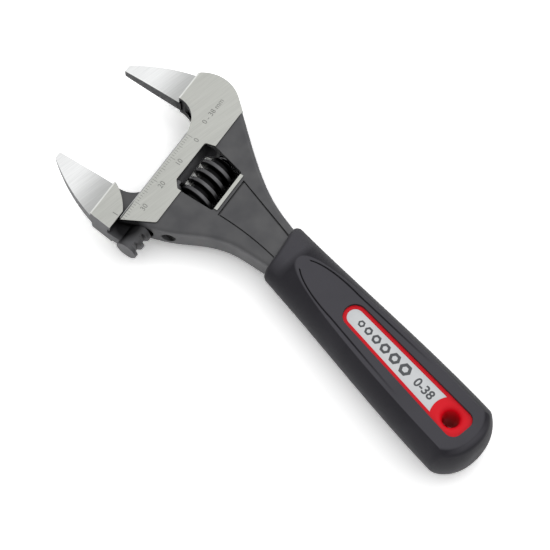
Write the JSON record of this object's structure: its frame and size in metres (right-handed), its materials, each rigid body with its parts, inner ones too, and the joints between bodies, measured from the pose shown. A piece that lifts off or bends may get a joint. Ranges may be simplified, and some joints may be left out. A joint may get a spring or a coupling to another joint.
{
  "type": "adjustable wrench",
  "caption": "Slim jaw adjustable wrench with a worm driven sliding jaw, a marked jaw scale and a two part moulded handle with a hanging hole.",
  "frame": {"origin": "middle of the hanging hole, halfway through the handle's thickness", "axes": "+X along the handle to the jaws, +Y towards the sliding jaw's side, +Z out of the front face along the hanging hole"},
  "size_m": [0.1797, 0.0661, 0.02],
  "materials": {
    "forged_steel": "ground satin on the head plate and jaws, dark phosphate on the neck",
    "worm_steel": "turned, dark oxide",
    "spring_steel": "drawn wire",
    "core_plastic": "moulded, satin red",
    "soft_grip": "moulded soft grip, fine matt grain",
    "label": "printed film"
  },
  "bodies": {
    "handle": {"body": "forged_steel", "worm_pin": "worm_steel", "worm_spring": "spring_steel", "grip_core": "core_plastic", "grip_sleeve": "soft_grip", "label_front": "label", "label_back": "label"},
    "jaw": {"movable_jaw": "forged_steel"},
    "worm_wheel": {"worm": "worm_steel"}
  },
  "joints": [
    {"name": "worm_spin", "type": "hinge", "parent": "handle", "child": "worm_wheel", "pos_m": [0.11519, 0.00291, 0], "axis": [-0.2588, 0.9659, 0], "range_deg": [-3514, 75]},
    {"name": "jaw_slide", "type": "slide", "parent": "handle", "child": "jaw", "axis": [-0.2588, 0.9659, 0], "range_m": [-0.0371, 0.0008]}
  ],
  "couplings": [
    {"joint": "jaw_slide", "follows": "worm_spin", "m_per_rad": 0.00060479}
  ]
}
